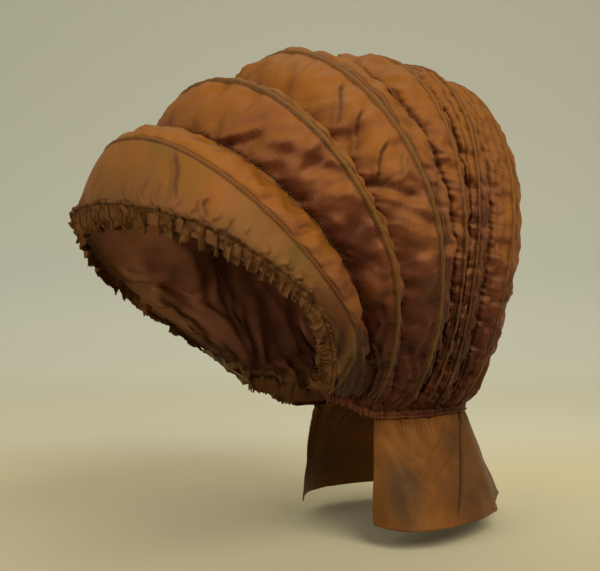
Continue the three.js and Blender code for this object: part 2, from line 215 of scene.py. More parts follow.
def hood_line(row, steps):
    """The points of a line from its left foot over the top to its right foot."""
    kind, wide, neck, top_y, top_z, foot_y, foot_z, waist, crown, cheek, bow = row
    a = np.linspace(0, math.pi / 2, 400)
    wide, neck = wide * HOOD_WIDTH / 2, neck * NECK_WIDTH / 2
    upper = np.clip(np.cos(a), 0, 1) ** (2 / crown)
    x1, s1 = wide * np.sin(a) ** (2 / crown), waist + (1 - waist) * upper
    x2 = neck + (wide - neck) * np.clip(np.cos(a[1:]), 0, 1) ** (2 / cheek)
    s2 = waist * (1 - np.sin(a[1:]) ** (2 / cheek))
    x, s = np.concatenate([x1, x2]), np.concatenate([s1, s2])
    y = HOOD_DEPTH * (foot_y + (top_y - foot_y) * s + bow * np.sin(math.pi * s))
    z = HOOD_HEIGHT * (foot_z + (top_z - foot_z) * s)
    half = evenly(np.stack([x, y, z], axis=1), steps + 1)
    return np.concatenate([half[:0:-1], half * [-1, 1, 1]])


def unit(v):
    """The same directions, each one long."""
    return v / np.maximum(np.linalg.norm(v, axis=-1, keepdims=True), 1e-9)


def hood_rows(places, steps):
    """The skin at each place counted in lines from the brim edge."""
    lines = np.array([hood_line(row, steps) for row in LINES.values()])
    rows = []
    for place in places:
        k = min(int(place), len(lines) - 2)
        t = place - k
        a, b = lines[k], lines[k + 1]
        across = b - a
        out = unit(np.cross(unit(across), unit(np.gradient(a, axis=0))))
        puff = PUFF[LINES[LINE_NAMES[k + 1]][0]]
        rows.append(a + across * t + out * puff * 4 * t * (1 - t) * np.linalg.norm(across, axis=1)[:, None])
    return np.array(rows)


def outward(grid):
    """The direction that faces out of the hood at each point of a grid."""
    return unit(np.cross(np.gradient(grid, axis=0), np.gradient(grid, axis=1)))


def finer(grid, rows_at, cols_at):
    """A grid read between its points on a smooth curve, first down and then across."""
    for axis, at in ((0, rows_at), (1, cols_at)):
        k = np.clip(np.floor(at).astype(int), 0, grid.shape[axis] - 2)
        t = at - k
        weights = [(-t + 2 * t ** 2 - t ** 3) / 2, (2 - 5 * t ** 2 + 3 * t ** 3) / 2,
                   (t + 4 * t ** 2 - 3 * t ** 3) / 2, (-t ** 2 + t ** 3) / 2]
        total = 0
        for offset, weight in zip((-1, 0, 1, 2), weights):
            taken = np.take(grid, np.clip(k + offset, 0, grid.shape[axis] - 1), axis=axis)
            shape = [1, 1, 1]
            shape[axis] = len(at)
            total = total + taken * weight.reshape(shape)
        grid = total
    return grid


# The cloth between canes and seams is cut a little too large, so it is let
# fall into its own creases by a cloth simulation held at the canes and seams.
CREASE_STEPS = 80
CREASE_ROWS = 8
CREASED_LINES = 13
SETTLE_FRAMES = 24
base = hood_rows(np.arange(CREASED_LINES * CREASE_ROWS + 1) / CREASE_ROWS, CREASE_STEPS)


def settle(name, grid, held, spare, bending, gravity, cap):
    """Lets cloth fall into creases, at ten times its size, and gives how far it moved."""
    scale = 10.0
    stiffness = 15.0
    piece = grid_piece(name, grid * scale)
    group = piece.vertex_groups.new(name="held")
    for weight in np.unique(held[held > 0]):
        group.add(np.nonzero(held.ravel() == weight)[0].tolist(), float(weight), "REPLACE")
    cloth = piece.modifiers.new("creases", "CLOTH")
    cloth.settings.quality = 6
    cloth.settings.mass = 0.15
    cloth.settings.tension_stiffness = cloth.settings.compression_stiffness = stiffness
    cloth.settings.shear_stiffness = stiffness / 2
    cloth.settings.bending_stiffness = bending
    cloth.settings.vertex_group_mass = "held"
    cloth.settings.pin_stiffness = 1.0
    cloth.settings.shrink_min = -spare
    cloth.settings.air_damping = 2.0
    cloth.settings.effector_weights.gravity = gravity
    cloth.collision_settings.use_collision = False
    cloth.point_cache.frame_start = 1
    cloth.point_cache.frame_end = SETTLE_FRAMES
    for number in range(1, SETTLE_FRAMES + 1):
        bpy.context.scene.frame_set(number)
    shape = piece.evaluated_get(bpy.context.evaluated_depsgraph_get())
    out = np.empty(grid.size)
    shape.data.vertices.foreach_get("co", out)
    moved = out.reshape(grid.shape) / scale - grid
    bpy.data.objects.remove(piece)
    bpy.context.scene.frame_set(1)
    length = np.linalg.norm(moved, axis=-1, keepdims=True)
    return moved * np.minimum(1, cap / np.maximum(length, 1e-9))


held = np.zeros(base.shape[:2])
held[::CREASE_ROWS] = 1
held[:, :1] = held[:, -1:] = 1
creases = settle("crease_cloth", base, held, spare=0.035, bending=6.0, gravity=0.25, cap=0.007)

# The skin as it is drawn, with its rows closer together at the canes and the seams
FINE_STEPS = 300
ROWS_PER_LINE = 26
BACK_ROWS = 91
ease = np.linspace(0, 1, ROWS_PER_LINE + 1)[:-1]
ease = ease - 0.115 * np.sin(2 * math.pi * ease)
fine_places = np.concatenate([k + ease for k in range(12)] + [np.linspace(12, 17, BACK_ROWS)])
flat_skin = hood_rows(fine_places, FINE_STEPS)
crease_rows = np.clip(fine_places, 0, CREASED_LINES) * CREASE_ROWS
crease_fine = finer(creases, crease_rows, np.linspace(0, 2 * CREASE_STEPS, 2 * FINE_STEPS + 1))
crease_fine *= np.interp(fine_places, [0, 0.9, 1.1, 13, 13.01], [0.25, 0.25, 1, 1, 0])[:, None, None]
skin = flat_skin + crease_fine
skin_out = outward(flat_skin)
col_share = np.linspace(-1, 1, 2 * FINE_STEPS + 1)


def running(grid, axis):
    """How many millimetres each point of a grid lies along its row or its column."""
    step = np.linalg.norm(np.diff(grid, axis=axis), axis=-1) * 1000
    total = np.cumsum(step, axis=axis)
    pad = [(1, 0) if k == axis else (0, 0) for k in range(2)]
    return np.pad(total, pad)


across_mm = running(flat_skin, 0)
along_mm = running(flat_skin, 1)
foot_mm = np.minimum(along_mm, along_mm[:, -1:] - along_mm)


def line_row(name, share=0.0):
    """The row of the skin on a line, or a share of the way from it to the next line."""
    return int(np.abs(fine_places - LINE_NAMES.index(name) - share).argmin())


def from_line(name):
    """How many millimetres each point lies behind a line, and which rows are close to it."""
    close_rows = np.abs(fine_places - LINE_NAMES.index(name))[:, None] < 1
    return across_mm - across_mm[line_row(name)], close_rows


def by_line(places, values):
    """A value for each row, between values at places counted in lines from the brim."""
    return np.interp(fine_places, places, values)[:, None]


def hill(off, half):
    """A smooth hill over off, 1 at its top and about a third of that at half."""
    return np.exp(-(off / half) ** 2)


def ripple(at, wave, seed):
    """Smooth irregular waves along a line, wave long on average, between -1 and 1."""
    chance = np.random.RandomState(seed + 100)
    total = 0
    for share in (0.6, 0.85, 1.2, 1.7):
        start = chance.uniform(0, 6.28)
        total = total + np.sin(2 * math.pi * at / (wave * share) + start) * chance.uniform(0.6, 1)
    return total / 2.2


def crumple(points_mm, size, seed):
    """Smooth irregular bumps in space, size across, between -1 and 1."""
    cells = 32
    table = np.random.RandomState(seed).uniform(-1, 1, (cells, cells, cells))
    p = points_mm / size
    k = np.floor(p).astype(int)
    t = p - k
    t = t * t * (3 - 2 * t)
    total = 0
    for corner in np.ndindex(2, 2, 2):
        x, y, z = [(k[..., n] + corner[n]) % cells for n in range(3)]
        near_x, near_y, near_z = [t[..., n] if corner[n] else 1 - t[..., n] for n in range(3)]
        total = total + table[x, y, z] * (near_x * near_y * near_z)
    return total


# What each point of the skin gets: its height in millimetres, the painted shade that
# darkens it, how slack the silk is there, how olive its casing looks, and whether a cane
# lies under it
relief = np.zeros(flat_skin.shape[:2])
painted_shade = np.zeros_like(relief)
slack_here = np.ones_like(relief)
casing_olive = np.zeros_like(relief)
cane_near = np.zeros_like(relief)

# Casings stand up a little over each cane, between two rows of stitches, and hold the
# silk beside them taut. Each has half its width and its height in millimetres.
CASINGS = {"cane_1": (1.1, 0.7), "cane_2": (2.5, 1.4), "cane_3": (2.5, 1.4), "cane_4": (2.0, 1.3),
           "cane_5": (1.8, 1.2), "cane_6": (2.1, 1.3)}
for k, (name, (half, tall)) in enumerate(CASINGS.items()):
    off, near = from_line(name)
    slack_here = np.minimum(slack_here, 0.12 + 0.88 * np.clip((np.abs(off) - 2.5) / 11, 0, 1) ** 0.8)
    half = np.minimum(half * (1 + 0.12 * ripple(along_mm, 25, 400 + k)), 0.3 + foot_mm * 0.05)
    tall = tall * np.minimum(1, foot_mm / 40) * (1 + 0.2 * ripple(along_mm, 18, 410 + k))
    cane_near = np.maximum(cane_near, (np.abs(off) < 6) * near)
    rib = np.clip(1 - np.abs(off / half) ** 3, 0, 1) ** 0.6 * tall * near
    # The groove beside each casing and the silk just behind it get painted shade
    groove = hill(np.abs(off) - half - 0.9, 1.0) * near
    relief += rib - groove
    behind = hill(off - half - 1.4, 1.6) * near * (k > 0)
    painted_shade = np.maximum(painted_shade, np.maximum(groove, behind))
    casing_olive = np.maximum(casing_olive, (rib > 0.2) * (0.7 if name in ("cane_2", "cane_3") else 0.3))

# Seams: a fine welt in the valley, with the silk puckered on both sides of it. Each has
# the height and reach of its puckers and the width of its groove in millimetres.
SEAMS = {"seam_1": (0.8, 6, 1.1), "seam_2": (1.0, 8, 1.2), "seam_3": (1.7, 10, 2.3),
         "seam_4": (1.4, 9, 2.2), "seam_5": (1.2, 8, 1.7)}
for k, (name, (pucker, reach, wide)) in enumerate(SEAMS.items()):
    off, near = from_line(name)
    welt = hill(off, 0.9) * near
    wide = wide * (1 + 0.3 * ripple(along_mm, 13, 430 + k))
    groove = hill(np.abs(off) - 1.1 - wide, wide) * near
    relief += 1.6 * welt - wide * groove
    # The grooves beside the welt get painted shade, in ragged lengths
    painted_shade = np.maximum(painted_shade, groove * np.clip(0.95 + 0.3 * ripple(along_mm, 10, 440 + k), 0, 1))
    for way in (-1, 1):
        seed = 10 * k + way
        waves = 0.9 - 2.2 * np.abs(ripple(along_mm, 16, seed)) + 0.5 * ripple(along_mm, 4, seed + 5)
        relief += (off * way > 0) * near * pucker * waves * np.exp(-np.abs(off) / reach) * (1 - welt)

# Tucks run beside the canes. Each has its distance behind the cane, half its width and
# its height in millimetres. Two stitched rows cross the back panel behind its seam.
TUCKS = [("cane_3", 11, 1.8, 1.5), ("cane_2", 15, 1.3, 1.0), ("cane_4", 9, 1.4, 1.0),
         ("cane_5", -8, 1.4, 1.0)]
SEWN_ROWS = (0.30, 0.58)
for name, away_mm, half, tall in TUCKS:
    off, near = from_line(name)
    off = off - away_mm * np.minimum(1, foot_mm / 120)
    strength = np.minimum(1, foot_mm / 30) * near
    under = hill(off + 1.8 * half, 0.8)
    relief += (tall * hill(off, half) - 0.7 * under) * strength
    # Painted shade in the groove under each tuck
    painted_shade = np.maximum(painted_shade, 0.8 * under * strength)
for share in SEWN_ROWS:
    off = across_mm - across_mm[line_row("seam_5", share)]
    stitch = hill(off, 0.7) * (0.6 + 0.4 * np.sin(along_mm * 2 * math.pi / 3.2))
    stitch *= (foot_mm > 40) * (np.abs(fine_places - 10.5) < 0.5)[:, None]
    # The dents of the sewn rows are darkened as painted shade
    relief -= 0.5 * stitch
    painted_shade = np.maximum(painted_shade, 0.7 * stitch)

# Gathers: at the foot the silk is drawn up tight into fine folds that fan upwards,
# and some of them run on as long sharp folds to the middle of the side
for side_index, foot in ((0, across_mm[:, :1]), (1, across_mm[:, -1:])):
    on_side = (col_share < 0)[None] if side_index == 0 else (col_share >= 0)[None]
    folds = ripple(foot, 7.0, 300 + side_index) * 0.7 + ripple(foot, 3.4, 310 + side_index) * 0.3
    sharp = 1 - 2 * np.abs(folds)
    reach = 34 + 14 * ripple(foot, 11, 320 + side_index)
    strength = np.exp(-(foot_mm / reach) ** 1.4) * on_side
    relief += 1.8 * sharp * strength
    # Painted shade in the hollows between the fine folds
    painted_shade = np.maximum(painted_shade, np.clip(-sharp, 0, 1) * strength * 0.9)
    wander = 2.5 * ripple(foot_mm, 70, 330 + side_index)
    long_fold = 1 - 2.2 * np.abs(ripple(foot + wander, 15, 340 + side_index))
    reach = 105 + 45 * ripple(foot, 23, 350 + side_index)
    strength = np.exp(-(foot_mm / reach) ** 2.5) * (1 - hill(foot_mm, 14)) * on_side
    relief += 2.9 * long_fold * strength * slack_here
    # Painted shade along the hollows of the long folds
    painted_shade = np.maximum(painted_shade, np.clip(-long_fold + 0.1, 0, 1) * strength)

# Creases: each runs from one place on the skin to another. Places are counted in
# lines from the brim edge and as a share from the top of the hoop (0) to its left
# foot (-1) or right foot (+1). Then half width and height in millimetres.
CREASES = [
    (1.00, -0.670, 0.00, -0.920, 3.8, 3.6), (0.95, -0.720, 0.15, -0.960, 2.6, 2.2),
    (1.00, 0.670, 0.00, 0.920, 3.8, 3.6), (0.95, 0.720, 0.15, 0.960, 2.6, 2.2),
    (0.95, -0.150, 0.16, -0.225, 1.6, 2.6), (0.50, -0.265, 0.08, -0.292, 2.0, 2.4),
    (2.10, -0.160, 2.55, -0.210, 3.5, 1.6), (2.25, -0.190, 2.80, -0.235, 3.0, 1.5),
    (2.20, -0.220, 2.90, -0.420, 5.0, -2.2), (2.40, -0.330, 2.90, -0.410, 4.0, -1.8),
    (2.15, -0.430, 2.60, -0.500, 3.0, 1.4), (2.10, -0.520, 2.80, -0.620, 2.2, 1.6),
    (4.85, -0.200, 4.15, -0.268, 2.1, 2.8), (4.70, -0.265, 4.12, -0.338, 2.1, 2.7),
    (4.72, -0.345, 4.12, -0.412, 2.2, 2.8), (4.15, -0.430, 4.85, -0.480, 4.5, -2.4),
    (4.10, -0.500, 4.60, -0.540, 2.0, 1.5), (4.50, -0.440, 4.90, -0.400, 2.0, 1.4),
    (4.85, -0.090, 4.20, -0.120, 1.3, 1.2), (1.15, -0.210, 1.75, -0.260, 1.6, 1.4),
    (1.20, -0.330, 1.80, -0.350, 1.5, 1.2), (1.10, -0.300, 1.60, -0.330, 1.5, 1.1),
    (1.20, -0.450, 1.75, -0.470, 1.5, 1.2), (10.20, -0.250, 10.80, -0.270, 1.0, 1.2),
    (10.15, -0.300, 10.55, -0.310, 0.9, 1.0), (10.20, -0.380, 10.80, -0.385, 1.0, 1.3),
]

# The small creases fall anywhere between the canes and the seams, lower on the side that
# the photograph shows, and those of the brim run out to its edge
SMALL_CREASES = 170
BRIM_CREASES = 34
chance = np.random.RandomState(7)
for k in range(SMALL_CREASES):
    line = chance.choice([1.5, 2.5, 3.5, 4.5, 5.5, 6.5, 7.5, 8.5, 9.5, 10.5, 11.5, 12.4, 13.2, 14.0])
    share = chance.uniform(-0.93, 0.93)
    photo_side = -0.6 < share < 0
    reach = chance.uniform(0.15, 0.42)
    slant = chance.normal(0, 0.03)
    tall = chance.uniform(0.5, 1.5) * (0.6 if photo_side else 1.0)
    CREASES.append((line - reach, share - slant, line + reach, share + slant,
                    chance.uniform(1.0, 2.6), tall * chance.choice([1, -1], p=[0.6, 0.4])))
chance = np.random.RandomState(12)
for k in range(BRIM_CREASES):
    share = -0.04 - 0.60 * (k // 2 + chance.uniform(0.1, 0.9)) / (BRIM_CREASES // 2)
    share = share if k % 2 else -share
    slant = math.copysign(chance.uniform(0.004, 0.030), share)
    CREASES.append((chance.uniform(0.18, 0.45), share - slant, 0.02, share, chance.uniform(1.3, 2.2),
                    chance.uniform(0.7, 1.7)))

# Each crease is a ridge with a shallow groove beside it that fades out at both ends
CREASE_POINTS = 40
turned_edge = np.zeros_like(relief)
for v0, u0, v1, u1, half, tall in CREASES:
    at = np.linspace(0, 1, CREASE_POINTS)
    rows_at = np.interp(v0 + (v1 - v0) * at, fine_places, np.arange(len(fine_places)))
    cols_at = (u0 + (u1 - u0) * at + 0.006 * np.sin(at * 7 + v0 * 9) + 1) * FINE_STEPS
    r0, r1 = int(max(rows_at.min() - 8, 0)), int(min(rows_at.max() + 9, len(fine_places)))
    c0, c1 = int(max(cols_at.min() - 16, 0)), int(min(cols_at.max() + 17, 2 * FINE_STEPS + 1))
    area = np.s_[r0:r1, c0:c1]
    path_cols = np.clip(cols_at.round().astype(int), 0, 2 * FINE_STEPS)
    path = flat_skin[rows_at.round().astype(int), path_cols] * 1000
    for _ in range(3):
        path[1:-1] = (path[:-2] + path[1:-1] * 2 + path[2:]) / 4
    gap = flat_skin[area][:, :, None, :] * 1000 - path[None, None]
    distance = np.linalg.norm(gap, axis=-1)
    nearest = distance.argmin(axis=-1)
    close = np.take_along_axis(distance, nearest[..., None], axis=-1)[..., 0]
    run = unit(np.gradient(path, axis=0))[nearest]
    offset = np.take_along_axis(gap, nearest[..., None, None], axis=2)[:, :, 0]
    off = close * np.sign((np.cross(run, offset) * skin_out[area]).sum(-1))
    taper = np.clip(np.minimum(nearest, CREASE_POINTS - 1 - nearest) / 9, 0, 1)
    taper = taper * taper * (3 - 2 * taper)
    shape = hill(off, half) - 0.55 * hill(off - 1.7 * half, 0.8 * half)
    relief[area] += tall * shape * taper
    # The tall wide creases turn over and show olive silk, with painted shade along both sides a little away
    # from the ridge; the narrow raised ones get painted shade beside one side
    if tall > 2.1 and half > 2.5:
        turned_edge[area] = np.maximum(turned_edge[area], hill(off, 1.1 * half) * taper)
        painted_shade[area] = np.maximum(painted_shade[area], hill(np.abs(off) - 2.0 * half, 0.6 * half) * taper)
    if tall > 0 and half < 2.5:
        edge = hill(off - 1.3 * half, max(0.5 * half, 1.7)) * taper
        painted_shade[area] = np.maximum(painted_shade[area], min(0.36 * tall, 1) * edge)

# Between the creases the silk is crumpled: soft dents, and sharp folds 15 to 42 mm
# apart that cross each other. There are fewest on the brim and close to the casings.
points_mm = flat_skin * 1000
rough = by_line([0, 1, 1.1, 2, 5, 6, 10, 11, 17], [0.1, 0.1, 0.5, 0.5, 0.5, 1.0, 1.0, 0.7, 0.6])
relief += slack_here * rough * (0.7 * crumple(points_mm, 19, 1) + 0.25 * crumple(points_mm, 8, 2))
relief += 0.12 * crumple(points_mm, 3.5, 3)
turned = points_mm @ np.array([[0.80, 0.36, -0.48], [0.00, 0.80, 0.60], [0.60, -0.48, 0.64]])
crisp = by_line([0, 1, 1.1, 2, 2.1, 6, 10, 12, 17], [0.04, 0.04, 0.5, 0.6, 0.85, 0.85, 0.9, 0.5, 0.4])
crisp = crisp * slack_here * np.interp(foot_mm, [0, 60, 170], [0.2, 0.35, 1])
relief += crisp * (0.7 - 2.4 * np.abs(crumple(turned, 33, 4))
                   - np.abs(crumple(turned[..., [1, 2, 0]], 15, 5)))
chance = np.random.RandomState(31)
for k in range(9):
    slope = chance.uniform(-0.8, 0.8)
    wave = chance.uniform(17, 42)
    at = (along_mm * math.cos(slope) + across_mm * math.sin(slope)) / wave
    at = at + 0.25 * crumple(turned, 55, 60 + k)
    shown = np.clip(crumple(turned, 48, 80 + k) * 3 - 0.3, 0, 1)
    relief += crisp * shown * wave * 0.10 * (0.5 - 2 * np.abs(at % 1 - 0.5))
relief = np.where(cane_near > 0, np.maximum(relief, -1.0), relief)
relief -= (2.5 * by_line([11.2, 12.5, 15, 17], [0, 1, 1, 0.6])
           * np.interp(np.abs(col_share), [0.3, 0.55, 0.85, 1], [0.3, 1, 1, 0]))
skin = skin + skin_out * relief[..., None] / 1000
skin_out = outward(skin)

# Shot silk taffeta, plain woven from dark brown and gold threads; the stiff cloth has a
# soft, broken gloss. Its colour runs from near black through red brown to gold, and that
# is partly painted light: silk that faces up is painted gold as if lit from above, silk
# that turns away is painted dark red brown as if in shade, and the shade value paints
# shade, near black, into grooves, creases and the hollows of folds. Its colour drifts in
# patches of 45 mm (22 to the metre) and its surface has a fine crinkle of 5 mm (210 to
# the metre). The threads lie 1.3 to 1.4 mm apart, about ten times as coarse as real
# ones, so that they show.
silk, tree = new_material("shot_silk_taffeta")
place = node(tree, "ShaderNodeTexCoord").outputs["Object"]
shot_tone_and_light = node(tree, "ShaderNodeAttribute", attribute_name="shot_tone_and_light").outputs["Fac"]
olive = node(tree, "ShaderNodeAttribute", attribute_name="olive").outputs["Fac"]
shade = node(tree, "ShaderNodeAttribute", attribute_name="shade").outputs["Fac"]
patch = node(tree, "ShaderNodeTexNoise", {"Vector": place}, {"Scale": 22, "Detail": 4, "Roughness": 0.6})
shift = node(tree, "ShaderNodeMapRange", {"Value": patch.outputs["Fac"]},
             {"From Min": 0.3, "From Max": 0.7, "To Min": -0.16, "To Max": 0.16})
mixed = node(tree, "ShaderNodeMath", {0: shot_tone_and_light, 1: shift.outputs["Result"]}, operation="ADD")
colour = node(tree, "ShaderNodeValToRGB", {"Fac": mixed.outputs["Value"]})
colour.color_ramp.elements[0].color = linear("#260e07")
colour.color_ramp.elements[1].color = linear("#7c4a10")
for at, tone in ((0.25, "#4a2315"), (0.5, "#6f4120"), (0.75, "#7a4814")):
    colour.color_ramp.elements.new(at).color = linear(tone)
to_olive = node(tree, "ShaderNodeMix", {0: olive, 6: colour.outputs["Color"]}, {7: linear("#61441a")},
                data_type="RGBA")
# Painted shade: the shade value darkens the colour towards near black
to_dark = node(tree, "ShaderNodeMix", {0: shade, 6: to_olive.outputs[2]}, {7: linear("#1d0c07")},
               data_type="RGBA")
gloss = node(tree, "ShaderNodeMapRange", {"Value": mixed.outputs["Value"]},
             {"From Min": 0.15, "From Max": 0.65, "To Min": 0.36, "To Max": 0.54})
crinkle = node(tree, "ShaderNodeTexNoise", {"Vector": place}, {"Scale": 210, "Detail": 6, "Roughness": 0.65})
cloth_mm = node(tree, "ShaderNodeAttribute", attribute_name="cloth").outputs["Vector"]
threads = node(tree, "ShaderNodeMapping", {"Vector": cloth_mm}, {"Scale": (0.75, 0.07, 1)})
slubs = node(tree, "ShaderNodeTexNoise", {"Vector": threads.outputs["Vector"]},
             {"Scale": 1, "Detail": 4, "Roughness": 0.6})
crossing = node(tree, "ShaderNodeMapping", {"Vector": cloth_mm}, {"Scale": (0.05, 0.7, 1)})
ribs = node(tree, "ShaderNodeTexNoise", {"Vector": crossing.outputs["Vector"]},
            {"Scale": 1, "Detail": 4, "Roughness": 0.6})
weave = node(tree, "ShaderNodeMath", {0: slubs.outputs["Fac"], 1: ribs.outputs["Fac"]}, operation="ADD")
coarse = node(tree, "ShaderNodeBump", {"Height": crinkle.outputs["Fac"]},
              {"Strength": 0.30, "Distance": 0.0012})
bump = node(tree, "ShaderNodeBump", {"Height": weave.outputs["Value"], "Normal": coarse.outputs["Normal"]},
            {"Strength": 0.35, "Distance": 0.0006})
silk_shader = node(tree, "ShaderNodeBsdfPrincipled",
                   {"Base Color": to_dark.outputs[2], "Normal": bump.outputs["Normal"],
                    "Roughness": gloss.outputs["Result"]},
                   {"Specular IOR Level": 0.46, "Specular Tint": linear("#d89c78"),
                    "Sheen Weight": 0.04, "Sheen Roughness": 0.4, "Sheen Tint": linear("#c98a50")})
node(tree, "ShaderNodeOutputMaterial", {"Surface": silk_shader.outputs["BSDF"]})

# Painted light and shade in the silk's colour value: silk that faces up, in its large form and in its
# creases, is painted lighter and golder as if lit from above, and silk that turns away darker; the silk is
# painted darker towards the feet and on the gathered cheeks of the brim. Each panel has its own tone, and the
# 45 mm patches are the silk's own drift of colour.
facing_up = np.clip((outward(flat_skin)[..., 2] * 0.55 + skin_out[..., 2] * 0.45 + 0.10) / 0.90, 0, 1)
tone = by_line([0, 1, 1.05, 2, 2.05, 4, 6, 10, 12, 17],
               [0.65, 0.65, 0.75, 0.75, 0.6, 0.6, 0.6, 0.7, 1.3, 1.1])
shot_tone_and_light_value = tone * 0.55 + 0.62 * facing_up ** 0.75 - 0.04 + 0.14 * crumple(points_mm, 45, 8)
share = np.abs(col_share)[None]
cheek_start = by_line([0, 1, 2, 2.5], [0.91, 0.66, 0.76, 0.80])
gathered = np.clip((share - cheek_start) / 0.05, 0, 1) * (fine_places < 2.5)[:, None]
shot_tone_and_light_value *= (1 - 0.4 * gathered) * np.interp(foot_mm, [0, 40, 120, 190], [0.38, 0.42, 0.62, 1])
shot_tone_and_light_value = np.clip(shot_tone_and_light_value, 0, 1)
mottle = np.clip(0.45 + 0.45 * crumple(points_mm, 50, 9) + 0.35 * crumple(points_mm, 17, 10), 0, 1)
olive_value = np.maximum((fine_places < 1)[:, None] * mottle * (1 - gathered), casing_olive)
olive_value = np.maximum(olive_value, 0.8 * turned_edge)
# Painted shade: the casings near the feet and the gathered cheeks of the brim are darkened
painted_shade = np.maximum(painted_shade, 0.75 * casing_olive * np.clip(1.2 - foot_mm / 150, 0.35, 1))
painted_shade = np.maximum(painted_shade, 0.35 * gathered) * (1 - 0.8 * turned_edge)

# Each panel with its CAD node and the lines, counted from the brim edge, it lies between
PANELS = {
    "brim_silk_panel": ("brim_panel", 0, 2),
    "silk_puff_1": ("silk_panel_1", 2, 4),
    "silk_puff_2": ("silk_panel_2", 4, 6),
    "silk_puff_3": ("silk_panel_3", 6, 8),
    "silk_puff_4": ("silk_panel_4", 8, 10),
    "back_silk_panel": ("back_panel", 10, 17),
}
for name, (cad_node, first, last) in PANELS.items():
    chosen = np.nonzero((fine_places >= first - 1e-6) & (fine_places <= last + 1e-6))[0]
    piece = grid_piece(name, skin[chosen])
    piece.data.materials.append(silk)
    for attribute, values in (("shot_tone_and_light", shot_tone_and_light_value), ("olive", olive_value), ("shade", painted_shade * 0.8)):
        point_values(piece, attribute, values[chosen])
    cloth = np.dstack([across_mm[chosen], along_mm[chosen], np.zeros_like(along_mm[chosen])])
    point_values(piece, "cloth", cloth, "FLOAT_VECTOR")
    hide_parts(cad_node)
    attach(piece, "root")

# Stitches: every casing and seam is sewn by hand with small running stitches of brown
# silk thread, about three to the centimetre. They lie on the silk, a little thicker
# than the real thread so that they show, and turn with the line that they follow.
STITCH_SPACING = 0.0034
STITCH_LENGTH = 0.0021
STITCH_THICKNESS = 0.00021

# Each row follows a line at so many millimetres behind it, and ends above the neckband
STITCHED = [("cane_1", 1.9), ("cane_1", -1.9), ("seam_1", 3.6), ("seam_1", -3.6), ("cane_2", 3.4),
            ("cane_2", -3.4), ("seam_2", 3.2), ("cane_3", 3.4), ("cane_3", -3.4), ("seam_3", 3.0),
            ("cane_4", 3.0), ("cane_4", -3.0), ("cane_5", -2.8), ("cane_6", 3.1), ("cane_6", -3.1)]
FREE_AT_FOOT = 22
ROW_FREE_AT_FOOT = 60



def on_skin(line_mm):
    """The points of the skin that lie at the given running length in each column."""
    found = []
    for column in range(skin.shape[1]):
        row = np.interp(line_mm[column], across_mm[:, column], np.arange(len(skin)))
        low = min(int(row), len(skin) - 2)
        part = row - low
        found.append(skin[low, column] * (1 - part) + skin[low + 1, column] * part
                     + skin_out[low, column] * STITCH_THICKNESS)
    return np.array(found)


stitched_lines = [on_skin(across_mm[line_row(name)] + off)[FREE_AT_FOOT:-FREE_AT_FOOT]
                  for name, off in STITCHED]
for share in SEWN_ROWS:
    sewn_row = on_skin(across_mm[line_row("seam_5", share)])
    stitched_lines.append(sewn_row[ROW_FREE_AT_FOOT:-ROW_FREE_AT_FOOT])

# Twisted silk thread, dyed brown: lighter and darker by turns 2.5 mm long (400 to the
# metre), with a dull gloss
thread, tree = new_material("brown_silk_thread")
place = node(tree, "ShaderNodeTexCoord").outputs["Object"]
twist = node(tree, "ShaderNodeTexNoise", {"Vector": place}, {"Scale": 400, "Detail": 2})
colour = node(tree, "ShaderNodeValToRGB", {"Fac": twist.outputs["Fac"]})
colour.color_ramp.elements[0].color = linear("#5a3214")
colour.color_ramp.elements[1].color = linear("#a06428")
thread_shader = node(tree, "ShaderNodeBsdfPrincipled", {"Base Color": colour.outputs["Color"]},
                     {"Roughness": 0.6})
node(tree, "ShaderNodeOutputMaterial", {"Surface": thread_shader.outputs["BSDF"]})

stitch_data = bpy.data.meshes.new("stitch_lines")
edges = []
start = 0
for line in stitched_lines:
    edges += [(start + k, start + k + 1) for k in range(len(line) - 1)]
    start += len(line)
stitch_data.from_pydata([tuple(point) for point in np.concatenate(stitched_lines)], edges, [])
stitch_lines = bpy.data.objects.new("stitch_lines", stitch_data)
bpy.context.collection.objects.link(stitch_lines)

tree = bpy.data.node_groups.new("running stitch", "GeometryNodeTree")
tree.interface.new_socket("Geometry", in_out="INPUT", socket_type="NodeSocketGeometry")
sockets = {}
for title, size in (("Spacing", STITCH_SPACING), ("Stitch length", STITCH_LENGTH),
                    ("Thread radius", STITCH_THICKNESS)):
    made = tree.interface.new_socket(title, in_out="INPUT", socket_type="NodeSocketFloat")
    made.default_value = size
    sockets[made.identifier] = size
tree.interface.new_socket("Geometry", in_out="OUTPUT", socket_type="NodeSocketGeometry")
given = node(tree, "NodeGroupInput").outputs
curve = node(tree, "GeometryNodeMeshToCurve", {"Mesh": given["Geometry"]})
spaced = node(tree, "GeometryNodeResampleCurve",
              {"Curve": curve.outputs["Curve"], "Length": given["Spacing"]}, mode="LENGTH")
stitch = node(tree, "GeometryNodeMeshCylinder",
              {"Radius": given["Thread radius"], "Depth": given["Stitch length"]}, {"Vertices": 5})
tangent = node(tree, "GeometryNodeInputTangent").outputs["Tangent"]
turned_to = node(tree, "FunctionNodeAlignRotationToVector", {"Vector": tangent}, axis="Z")
wobble = node(tree, "FunctionNodeRandomValue", None, {0: (-0.16, -0.16, 0), 1: (0.16, 0.16, 0), "Seed": 5},
              data_type="FLOAT_VECTOR")
rotated = node(tree, "FunctionNodeRotateRotation",
               {"Rotation": turned_to.outputs["Rotation"], "Rotate By": wobble.outputs[0]})
placed = node(tree, "GeometryNodeInstanceOnPoints",
              {"Points": spaced.outputs["Curve"], "Instance": stitch.outputs["Mesh"],
               "Rotation": rotated.outputs["Rotation"]})
real = node(tree, "GeometryNodeRealizeInstances", {"Geometry": placed.outputs["Instances"]})
finished = node(tree, "GeometryNodeSetMaterial", {"Geometry": real.outputs["Geometry"]}, {"Material": thread})
